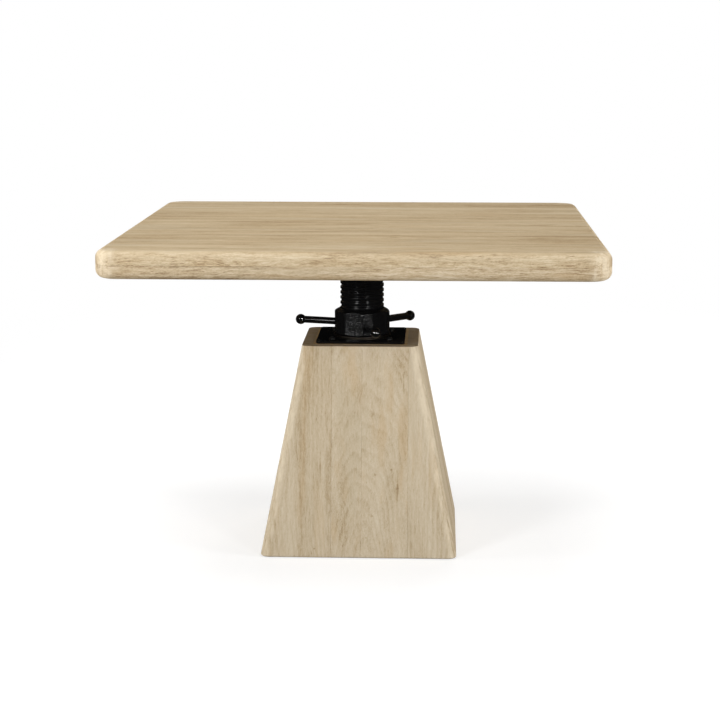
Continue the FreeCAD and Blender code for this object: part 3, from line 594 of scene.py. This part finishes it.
# ---- Materials ----
class Shader:
    """A material under construction, with a short call for each kind of node."""

    def __init__(self, name):
        self.material = bpy.data.materials.new(name)
        self.material.use_nodes = True
        self.tree = self.material.node_tree
        self.tree.nodes.clear()

    def add(self, kind, inputs, **settings):
        """New node with its settings. An input is another node's output or a plain value."""
        node = self.tree.nodes.new("ShaderNode" + kind)
        for name, value in settings.items():
            setattr(node, name, value)
        for name, value in inputs.items():
            if isinstance(value, bpy.types.NodeSocket):
                self.tree.links.new(value, node.inputs[name])
            else:
                node.inputs[name].default_value = value
        return node

    def math(self, operation, a, b=0.0, c=0.0):
        """Arithmetic on two or three values."""
        return self.add("Math", {0: a, 1: b, 2: c}, operation=operation).outputs[0]

    def sum(self, values):
        """Sum of values."""
        total = values[0]
        for value in values[1:]:
            total = self.math("ADD", total, value)
        return total

    def weighted(self, parts):
        """Sum of values, each times its weight."""
        return self.sum([self.math("MULTIPLY", value, weight) for value, weight in parts])

    def own_place(self):
        """Place in the object's own frame, which is the frame of the whole part."""
        return self.add("TexCoord", {}).outputs["Object"]

    def split(self, vector):
        """The three parts of a vector."""
        return self.add("SeparateXYZ", {0: vector}).outputs

    def length(self, vector):
        """Length of a vector."""
        return self.add("VectorMath", {0: vector}, operation="LENGTH").outputs["Value"]

    def scaled(self, vector, scale, location=(0, 0, 0)):
        """Vector times a scale for each axis, plus a location."""
        return self.add("Mapping", {"Vector": vector, "Scale": scale, "Location": location}).outputs[0]

    def noise(self, vector, scale, detail=2.0, roughness=0.5):
        """Noise about 0, from -0.5 to 0.5, with that many grains to the metre on each axis."""
        place = self.scaled(vector, scale)
        inputs = {"Vector": place, "Scale": 1.0, "Detail": detail, "Roughness": roughness}
        return self.math("SUBTRACT", self.add("TexNoise", inputs).outputs["Fac"], 0.5)

    def between(self, value, low, high, out_low=0.0, out_high=1.0):
        """Smooth step of a value between two limits, from one output to another."""
        inputs = {"Value": value, "From Min": low, "From Max": high, "To Min": out_low, "To Max": out_high}
        return self.add("MapRange", inputs, interpolation_type="SMOOTHSTEP").outputs[0]

    def ramp(self, value, stops):
        """Colour of a value, between (position, colour) stops."""
        node = self.add("ValToRGB", {0: value})
        elements = node.color_ramp.elements
        while len(elements) < len(stops):
            elements.new(0.5)
        for element, (position, colour) in zip(elements, stops):
            element.position = position
            element.color = (*colour, 1)
        return node.outputs[0]

    def mix(self, factor, first, second):
        """Colour between two colours. A colour is another node's output or three channels."""
        inputs = {0: factor}
        for socket, colour in ((6, first), (7, second)):
            inputs[socket] = colour if isinstance(colour, bpy.types.NodeSocket) else (*colour, 1)
        return self.add("Mix", inputs, data_type="RGBA").outputs[2]

    def finish(self, inputs, height=None, distance=0.0, strength=1.0):
        """Surface with the given inputs, and a relief of that depth where a height is given."""
        if height is not None:
            bump = self.add("Bump", {"Height": height, "Distance": distance, "Strength": strength})
            inputs = {**inputs, "Normal": bump.outputs[0]}
        surface = self.add("BsdfPrincipled", inputs)
        self.add("OutputMaterial", {"Surface": surface.outputs[0]})
        return self.material


def linear(red, green, blue):
    """Linear colour of a screen colour from 0 to 255."""
    def channel(value):
        share = value / 255
        return share / 12.92 if share <= 0.04045 else ((share + 0.055) / 1.055) ** 2.4
    return channel(red), channel(green), channel(blue)


def grain_place(shader, axes):
    """Place in the log: the grain attribute of a piece, or a CAD node's own axes, the grain's axis first."""
    if axes is None:
        return shader.add("Attribute", {}, attribute_name="grain").outputs["Vector"]
    split = shader.split(shader.own_place())
    return shader.add("CombineXYZ", {0: split[axes[0]], 1: split[axes[1]], 2: split[axes[2]]}).outputs[0]


def wandering(shader, place):
    """Place in the log with fibres that wander a few millimetres to the side along the plank."""
    sideways = shader.math("MULTIPLY", shader.noise(place, (5, 9, 9), 2.0), 0.018)
    shift = shader.add("CombineXYZ", {1: sideways, 2: sideways}).outputs[0]
    return shader.add("VectorMath", {0: place, 1: shift}, operation="ADD").outputs["Vector"]


def growth_rings(shader, place, spacing):
    """Late wood of the growth rings, from 0 to 1, on curves round the pith that close along the log."""
    split = shader.split(place)
    wander = shader.noise(place, (2.5, 7, 7), 2.0)
    ragged = shader.noise(place, (14, 240, 240), 2.0)
    from_pith = shader.length(shader.add("CombineXYZ", {0: 0.0, 1: split[1], 2: split[2]}).outputs[0])
    radius = shader.weighted([(from_pith, 1.0), (split[0], RING_TAPER), (wander, 0.035), (ragged, 0.004)])
    phase = shader.math("FRACT", shader.math("DIVIDE", radius, spacing))
    dark = shader.math("MULTIPLY", shader.between(phase, 0.2, 0.85), shader.between(phase, 1.0, 0.88))
    patches = shader.between(shader.noise(place, (5, 24, 24), 2.0), -0.14, 0.14, 0.3, 1.0)
    return shader.math("MULTIPLY", dark, patches)


def joint_stain(shader):
    """Dark glue line beside the joints of a plank, from 0 to 1, and the tone of the plank."""
    low, high, tone = shader.split(shader.add("Attribute", {}, attribute_name="joint").outputs["Vector"])
    near = shader.math("MINIMUM", low, high)
    broken = shader.between(shader.noise(shader.own_place(), (28, 28, 28), 2.0), -0.16, 0.12, 0.15, 1.0)
    line = shader.math("MULTIPLY", shader.between(near, JOINT_STAIN, 0.2 * JOINT_STAIN), broken)
    return line, tone


def marks_on(shader, marks):
    """Sum of dark marks. Each is an ellipsoid with a centre, three reaches and a darkness."""
    own = shader.own_place()
    ragged = shader.noise(own, (160, 160, 160), 2.0)
    masks = []
    for centre, reach, darkness in marks:
        scale = [1 / r for r in reach]
        offset = [-c / r for c, r in zip(centre, reach)]
        distance = shader.length(shader.scaled(own, scale, offset))
        distance = shader.math("ADD", distance, shader.math("MULTIPLY", ragged, 0.9))
        masks.append(shader.between(distance, 1.0, 0.25, 0.0, darkness))
    return shader.sum(masks)


def corner_wear_and_highlight(shader, half_at_floor, slope, radius):
    """Pale band on a square form's rounded upright corners, 0 to 1: rubbed wood and a painted highlight."""
    own = shader.own_place()
    x, y, z = shader.split(own)
    least = shader.math("MINIMUM", shader.math("ABSOLUTE", x), shader.math("ABSOLUTE", y))
    inset = shader.math("SUBTRACT", shader.math("MULTIPLY_ADD", z, slope, half_at_floor), least)
    broken = shader.between(shader.noise(own, (70, 70, 16), 3.0, 0.6), -0.12, 0.14, 0.25, 1.0)
    return shader.math("MULTIPLY", shader.between(inset, 1.15 * radius, 0.75 * radius), broken)


def wood_grain(shader, place, late_wood, rings, bands, streaks, grit, stains):
    """Broad figure and fine texture of the wood, both about 0, and the fibres and pores in them."""
    fibres = shader.noise(place, (28, 1000, 1000), 3.0, 0.65)
    bundles = shader.between(fibres, -0.16, 0.16)
    patchy = shader.between(shader.noise(place, (6, 40, 40), 2.0), -0.08, 0.16, 0.25, 1.0)
    open_pores = shader.between(shader.noise(place, (75, 1300, 1300), 1.0), 0.1, 0.2)
    pores = shader.math("MULTIPLY", open_pores, patchy)
    stain = shader.between(shader.noise(place, (9, 70, 70), 3.0, 0.6), 0.09, 0.24)
    figure = shader.weighted([
        (shader.noise(place, (1.2, 17, 17), 1.0), bands),
        (shader.noise(place, (4.5, 45, 45), 2.0), bands),
        (shader.math("MULTIPLY", stain, bundles), -stains),
        (shader.math("MULTIPLY", late_wood, shader.between(fibres, -0.4, 0.16)), -1.4 * rings),
    ])
    texture = shader.weighted([
        (shader.noise(place, (10, 120, 120), 3.0, 0.6), streaks),
        (shader.noise(place, (45, 330, 330), 2.0, 0.6), grit),
        (shader.noise(place, (190, 620, 620), 2.0, 0.7), 0.7 * grit),
        (fibres, 0.45),
        (pores, -0.4 * grit),
    ])
    return figure, texture, fibres, pores


def weathered(shader, place, colour, facing, side, rubbed_lit_corners, end_axis):
    """Colour of the wood: grey and warm patches, rubbed pale edges and corners with a painted highlight,
    and darker end grain that on the base's top also paints shade.
    """
    grey = shader.between(shader.noise(place, (2.5, 22, 22), 2.0), 0.0, 0.22, 0.0, 0.3)
    colour = shader.mix(grey, colour, GREY_PATCH)
    warm = shader.between(shader.noise(place, (3.2, 30, 30), 2.0), 0.02, 0.22, 0.0, 0.3)
    colour = shader.mix(warm, colour, WARM_PATCH)
    if side is not None:
        # Paler edges, most on the upper rounding: rubbed wood, and on the rounding a painted highlight.
        shoulder = shader.math("MULTIPLY", shader.between(facing[2], -0.05, 0.2),
                               shader.between(facing[2], 0.8, 0.45))
        colour = shader.mix(shader.weighted([(side, 0.03), (shoulder, 0.2)]), colour, PALE_EDGE_AND_HIGHLIGHT)
    # Corners paler where their curve begins: rubbed wood and a painted highlight.
    if rubbed_lit_corners:
        worn_and_lit = shader.math("MULTIPLY", corner_wear_and_highlight(shader, *rubbed_lit_corners), 0.55)
        colour = shader.mix(worn_and_lit, colour, WORN_CORNER_AND_HIGHLIGHT)
    # Darker end grain; on the base's top face it also paints the shade under the table top.
    if end_axis is not None:
        end = shader.between(shader.math("ABSOLUTE", facing[end_axis]), 0.7, 0.95, 0.0, 0.5)
        colour = shader.mix(end, colour, END_GRAIN_AND_SHADE)
    return colour


def wood(name, tones, axes=None, ring_spacing=0.0085, rings=0.17, bands=0.5, streaks=0.3, grit=0.6,
         stains=0.15, joints=0.12, marks=(), side_contrast=None, rubbed_lit_corners=None, end_axis=None):
    """Bleached wood, for a piece with a grain attribute or, with axes, for a CAD node.

    The keywords from rings to joints are the contrasts of its growth rings, soft bands, streaks, short
    fibres, brown stains and glue lines. side_contrast multiplies the fine texture of the front and back
    edges, the corner keyword is what the corner mask takes (corners rubbed pale, with a painted highlight),
    and end_axis is the axis across the darker end grain, which on the base's top also paints shade.
    """
    shader = Shader(name)
    place = wandering(shader, grain_place(shader, axes))
    late_wood = growth_rings(shader, place, ring_spacing)
    figure, texture, fibres, pores = wood_grain(shader, place, late_wood, rings, bands, streaks, grit, stains)
    facing = shader.split(shader.add("TexCoord", {}).outputs["Normal"])
    side = None
    if side_contrast:
        side = shader.between(shader.math("ABSOLUTE", facing[1]), 0.4, 0.9)
        texture = shader.math("MULTIPLY", texture, shader.math("MULTIPLY_ADD", side, side_contrast - 1, 1.0))
    value = shader.sum([texture, figure, 0.5 + 0.3 * rings + 0.06 * grit])
    if axes is None:
        joint, tone = joint_stain(shader)
        value = shader.sum([value, tone, shader.math("MULTIPLY", joint, -joints)])
    if marks:
        value = shader.math("SUBTRACT", value, marks_on(shader, marks))
    colour = weathered(shader, place, shader.ramp(value, tones), facing, side, rubbed_lit_corners, end_axis)
    rough = shader.math("MULTIPLY_ADD", fibres, 0.3, 0.7)
    height = shader.weighted([(fibres, 0.5), (pores, -0.8), (late_wood, -0.25)])
    return shader.finish({"Base Color": colour, "Roughness": rough, "Specular IOR Level": 0.12},
                         height, 0.00025, 0.6)


def painted_iron(name, roughness=0.1, gloss=0.25, grain=620, pebble=0.1, swell=0.15):
    """Black paint on iron, with pebbles of 1 / grain metres, a slow swell and a little dust."""
    shader = Shader(name)
    own = shader.own_place()
    fine = shader.noise(own, (grain, grain, grain), 2.0, 0.6)
    slow = shader.noise(own, (75, 75, 75), 2.0)
    dust = shader.between(shader.noise(own, (30, 30, 30), 3.0, 0.6), 0.0, 0.3, 0.0, 0.5)
    colour = shader.mix(dust, (0.004, 0.004, 0.0042), (0.009, 0.009, 0.0092))
    rough = shader.math("ADD", shader.weighted([(fine, 0.25), (dust, 0.12)]), roughness)
    height = shader.weighted([(fine, pebble), (slow, 3 * swell)])
    inputs = {"Base Color": colour, "Roughness": rough, "Specular IOR Level": gloss}
    return shader.finish(inputs, height, 0.0006, 0.8)


def bare_metal(name, tone, roughness):
    """Bare metal with fine turning marks about the column's axis and darker stains."""
    shader = Shader(name)
    own = shader.own_place()
    marks = shader.noise(own, (60, 60, 2600), 2.0)
    stains = shader.between(shader.noise(own, (45, 45, 45), 3.0, 0.6), -0.1, 0.2)
    colour = shader.mix(stains, tone, [0.55 * channel for channel in tone])
    rough = shader.math("ADD", shader.math("MULTIPLY", marks, 0.3), roughness)
    return shader.finish({"Base Color": colour, "Roughness": rough, "Metallic": 1.0}, marks, 0.0002, 0.5)


def nylon(name):
    """Off-white nylon with scuffs."""
    shader = Shader(name)
    scuffs = shader.between(shader.noise(shader.own_place(), (300, 300, 300), 3.0, 0.7), 0.02, 0.25)
    colour = shader.mix(scuffs, (0.55, 0.53, 0.48), (0.30, 0.28, 0.25))
    rough = shader.math("ADD", shader.math("MULTIPLY", scuffs, 0.3), 0.4)
    return shader.finish({"Base Color": colour, "Roughness": rough}, scuffs, 0.0001, 0.4)


# ---- Tones and marks ----
# Each set of tones runs from the darkest lines of the grain to the palest wood.
TOP_TONES = [(0.0, linear(120, 94, 64)), (0.28, linear(168, 144, 110)), (0.5, linear(190, 169, 136)),
             (0.75, linear(203, 184, 152)), (1.0, linear(214, 198, 170))]
EDGE_TONES = [(0.0, linear(111, 87, 59)), (0.28, linear(154, 131, 101)), (0.5, linear(180, 159, 128)),
              (0.75, linear(198, 179, 149)), (1.0, linear(210, 194, 168))]
BASE_TONES = [(0.0, linear(120, 98, 72)), (0.28, linear(168, 148, 117)), (0.5, linear(189, 173, 147)),
              (0.75, linear(200, 186, 162)), (1.0, linear(210, 199, 179))]
INNER_TONES = [(0.0, linear(110, 82, 50)), (0.28, linear(158, 128, 90)), (0.5, linear(180, 152, 112)),
               (0.75, linear(194, 168, 128)), (1.0, linear(206, 182, 144))]
GREY_PATCH = linear(188, 176, 152)
WARM_PATCH = linear(190, 162, 122)
# Pale tone of rubbed edges; on the boards' upper rounding it also paints a highlight.
PALE_EDGE_AND_HIGHLIGHT = linear(210, 194, 166)
# Pale tone of rubbed corners, which also paints a highlight on them.
WORN_CORNER_AND_HIGHLIGHT = linear(224, 211, 187)
# Tone of the end grain, dark enough to also paint the shade on the base's top face.
END_GRAIN_AND_SHADE = linear(126, 102, 72)
# How far the growth rings of a log close in along each metre of it.
RING_TAPER = 0.03

# Marks on the front of the base: cracks, a brown streak, small knots and soft brown patches. Each has a
# centre, its reach along each axis and its darkness.
FRONT_MARKS = [
    ((-0.088, -0.186, 0.200), (0.0016, 0.03, 0.060), 0.30),  # long crack in the left stave
    ((0.088, -0.195, 0.153), (0.0045, 0.03, 0.032), 0.34),  # brown streak by the right seam
    ((0.101, -0.148, 0.398), (0.0012, 0.03, 0.050), 0.26),  # crack near the top
    ((0.037, -0.188, 0.189), (0.003, 0.03, 0.0045), 0.40),  # knot by the middle seam
    ((0.074, -0.186, 0.200), (0.003, 0.03, 0.0035), 0.32),  # small knot to the right of it
    ((0.018, -0.191, 0.171), (0.002, 0.03, 0.004), 0.32),  # speck by the middle seam
    ((0.031, -0.206, 0.096), (0.005, 0.03, 0.003), 0.26),  # speck below the knots
    ((0.018, -0.215, 0.047), (0.0025, 0.03, 0.003), 0.26),  # speck near the foot
    ((-0.100, -0.220, 0.022), (0.003, 0.03, 0.003), 0.30),  # speck at the foot of the left stave
    ((0.030, -0.160, 0.335), (0.006, 0.03, 0.035), 0.18),  # soft brown patch in the upper half
    ((-0.072, -0.19, 0.180), (0.010, 0.03, 0.130), 0.13),  # soft brown band by the left seam
    ((0.156, -0.156, 0.340), (0.004, 0.02, 0.011), 0.34),  # stain on the right corner
]


# ---- Stage, light and camera ----
def floor():
    """Pale floor that fades out at its rim. The camera sees it paler than the light that it sends back."""
    solid = bmesh.new()
    bmesh.ops.create_circle(solid, cap_ends=True, radius=4.0, segments=128)
    mesh = plain_mesh("floor", solid)
    shader = Shader("floor")
    solid_share = shader.between(shader.length(shader.own_place()), 3.6, 1.2)
    direct = shader.add("LightPath", {}).outputs["Is Camera Ray"]
    tone = shader.mix(direct, (0.4, 0.4, 0.39), (0.5, 0.5, 0.5))
    glow = shader.math("MULTIPLY", direct, 0.62)
    shader.finish({"Base Color": tone, "Roughness": 0.9, "Specular IOR Level": 0.0,
                   "Emission Color": (1, 1, 1, 1), "Emission Strength": glow, "Alpha": solid_share})
    mesh.materials.append(shader.material)
    obj = bpy.data.objects.new("floor", mesh)
    bpy.context.scene.collection.objects.link(obj)
    obj.visible_glossy = False


def softbox(name, azimuth, elevation, distance, width, height, power, glint=False):
    """Rectangular light aimed at the nut. Azimuth 0 is the front, and it grows to the right.

    A glint shows only in the gloss of the metalwork. Every other light adds diffuse light and no gloss.
    """
    data = bpy.data.lights.new(name, "AREA")
    data.shape = "RECTANGLE"
    data.size = width
    data.size_y = height
    data.energy = power
    obj = bpy.data.objects.new(name, data)
    bpy.context.scene.collection.objects.link(obj)
    turn, rise = math.radians(azimuth), math.radians(elevation)
    towards = Vector((math.sin(turn) * math.cos(rise), -math.cos(turn) * math.cos(rise), math.sin(rise)))
    obj.location = LIGHT_AIM + towards * distance
    obj.rotation_euler = towards.to_track_quat("Z", "Y").to_euler()
    obj.visible_glossy = glint
    obj.visible_diffuse = not glint
    obj.visible_camera = False
    if glint:
        obj.light_linking.receiver_collection = metalwork


def surroundings():
    """White to the camera, soft grey light on surfaces, and dark in reflections."""
    world = bpy.data.worlds.new("studio")
    bpy.context.scene.world = world
    world.use_nodes = True
    tree = world.node_tree
    tree.nodes.clear()
    path = tree.nodes.new("ShaderNodeLightPath")
    output = tree.nodes.new("ShaderNodeOutputWorld")
    levels = (("diffuse", 0.12), ("glossy", 0.003), ("camera", 1.0))
    shade = {}
    for name, level in levels:
        shade[name] = tree.nodes.new("ShaderNodeBackground")
        shade[name].inputs["Color"].default_value = (1, 1, 1, 1)
        shade[name].inputs["Strength"].default_value = level
    glossy = tree.nodes.new("ShaderNodeMixShader")
    camera = tree.nodes.new("ShaderNodeMixShader")
    tree.links.new(path.outputs["Is Glossy Ray"], glossy.inputs[0])
    tree.links.new(shade["diffuse"].outputs[0], glossy.inputs[1])
    tree.links.new(shade["glossy"].outputs[0], glossy.inputs[2])
    tree.links.new(path.outputs["Is Camera Ray"], camera.inputs[0])
    tree.links.new(glossy.outputs[0], camera.inputs[1])
    tree.links.new(shade["camera"].outputs[0], camera.inputs[2])
    tree.links.new(camera.outputs[0], output.inputs[0])


def lights():
    """Soft light from the front, both sides, the back and above, and small glints for the black iron.

    Each light has its azimuth, elevation and distance, its width and height, and its power.
    """
    softbox("key_left", -36, 14, 3.0, 0.7, 1.3, 41)
    softbox("key_right", 30, 14, 3.2, 0.45, 1.3, 20)
    softbox("side_left", -80, 4, 4.0, 1.2, 1.2, 75)
    softbox("side_right", 70, 4, 3.4, 1.2, 1.2, 72)
    softbox("overhead", -90, 85, 2.6, 2.6, 2.2, 53)
    softbox("front_fill", -8, 10, 4.5, 3.5, 1.2, 4)
    softbox("back", 170, 9, 4.0, 2.5, 1.4, 85)
    for name, azimuth, power in (("left", -27, 260), ("right", 31, 300)):
        softbox(f"glint_{name}", azimuth, 14, 4.0, 0.35, 0.5, power, glint=True)
    softbox("glint_back_left", -125, 35, 4.0, 0.3, 0.6, 25, glint=True)
    softbox("glint_back_right", 115, 35, 4.0, 0.3, 0.6, 25, glint=True)
    softbox("glow_left", -34.5, 14, 4.0, 0.6, 0.7, 50, glint=True)
    softbox("low_left", -34.4, -9, 1.9, 0.35, 0.4, 0.065, glint=True)
    softbox("low_right", 25.5, -9, 1.9, 0.35, 0.4, 0.04, glint=True)


def camera():
    """Camera at the photograph's height and angle, with no roll."""
    data = bpy.data.cameras.new("camera")
    data.lens = CAMERA_LENS
    data.sensor_width = 36
    data.clip_end = 60
    obj = bpy.data.objects.new("camera", data)
    bpy.context.scene.collection.objects.link(obj)
    turn = Matrix.Rotation(math.radians(CAMERA_YAW), 3, "Z")
    obj.location = turn @ Vector((CAMERA_SIDE, -CAMERA_DISTANCE, CAMERA_HEIGHT))
    obj.rotation_euler = (math.radians(90 - CAMERA_PITCH), 0, math.radians(CAMERA_YAW))
    bpy.context.scene.camera = obj


# ---- The scene ----
def dress_nodes(names, material, metal=False):
    """Gives CAD nodes that stay in view their material."""
    for name in names:
        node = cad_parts[name]
        node.data.materials.clear()
        node.data.materials.append(material)
        if metal:
            metalwork.objects.link(node)


def build():
    """Every piece of the visual model, and the materials of the CAD nodes that stay."""
    top_corner = (TOP_HALF, 0.0, TOP_CORNER_RADIUS)
    base_corner = (BASE_BOTTOM_HALF, (BASE_TOP_HALF - BASE_BOTTOM_HALF) / BASE_HEIGHT, BASE_CORNER_RADIUS)
    # The pale edges and corners of the top are rubbed wood with a painted highlight.
    top_wood = wood("top_wood", TOP_TONES, rings=0.16, bands=0.6, side_contrast=2.4,
                    rubbed_lit_corners=top_corner, end_axis=0)
    edge_wood = wood("edge_wood", EDGE_TONES, rings=0.16, bands=0.7, streaks=0.9, grit=1.25, joints=0.3,
                     rubbed_lit_corners=top_corner)
    # The base's dark end grain on its top face also paints the shade under the table top.
    base_look = {"ring_spacing": 0.0095, "rings": 0.15, "streaks": 0.2, "stains": 0.08, "rubbed_lit_corners": base_corner,
                 "end_axis": 2}
    base_wood = wood("base_wood", BASE_TONES, **base_look)
    front_wood = wood("front_wood", BASE_TONES, marks=FRONT_MARKS, **base_look)
    iron = painted_iron("black_iron")
    cast_iron = painted_iron("cast_iron", roughness=0.18, gloss=0.07, grain=330, pebble=2.0, swell=0.3)
    knob_iron = painted_iron("knob_iron", roughness=0.08, gloss=0.28)
    screw_iron = painted_iron("screw_iron", roughness=0.2, gloss=0.15)
    fasteners = painted_iron("black_fasteners", roughness=0.32)
    bronze = bare_metal("bronze", (0.012, 0.010, 0.008), 0.5)
    steel = bare_metal("mill_steel", (0.32, 0.32, 0.33), 0.34)

    slab = top_form()
    top_boards(slab, top_wood)
    edge_strips(slab, edge_wood)
    slab.free()
    frustum = base_form()
    base_panels(frustum, {"front": front_wood, "right": base_wood, "back": base_wood, "left": base_wood})
    frustum.free()
    flange(iron)
    bolts(fasteners)
    washer(bronze)
    nut(cast_iron)
    handles(iron, knob_iron)
    column(screw_iron)

    screws = [f"{name}_screws" for name in ("plate", "batten", "column", "stop_ring", "guide")]
    dress_nodes(["top_plate", "top_collar", "plate_ribs"], iron, metal=True)
    dress_nodes(screws, fasteners, metal=True)
    dress_nodes(["guide_tube", "stop_ring", "guide_key", "retaining_ring"], steel, metal=True)
    dress_nodes(["guide_bush"], bronze, metal=True)
    dress_nodes(["glides"], nylon("nylon"))
    along_x = ["cap_board", "brace_board", "rail_front", "rail_back"]
    dress_nodes(along_x, wood("inner_x", INNER_TONES, (0, 1, 2)))
    along_y = ["batten_left", "batten_right", "rail_left", "rail_right"]
    dress_nodes(along_y, wood("inner_y", INNER_TONES, (1, 0, 2)))
    posts = [f"corner_post_{name}" for name in ("front_left", "front_right", "back_right", "back_left")]
    dress_nodes(posts, wood("inner_z", INNER_TONES, (2, 0, 1)))


build()
floor()
lights()
surroundings()
camera()
bpy.context.scene.view_settings.view_transform = "Standard"

bpy.context.view_layer.update()
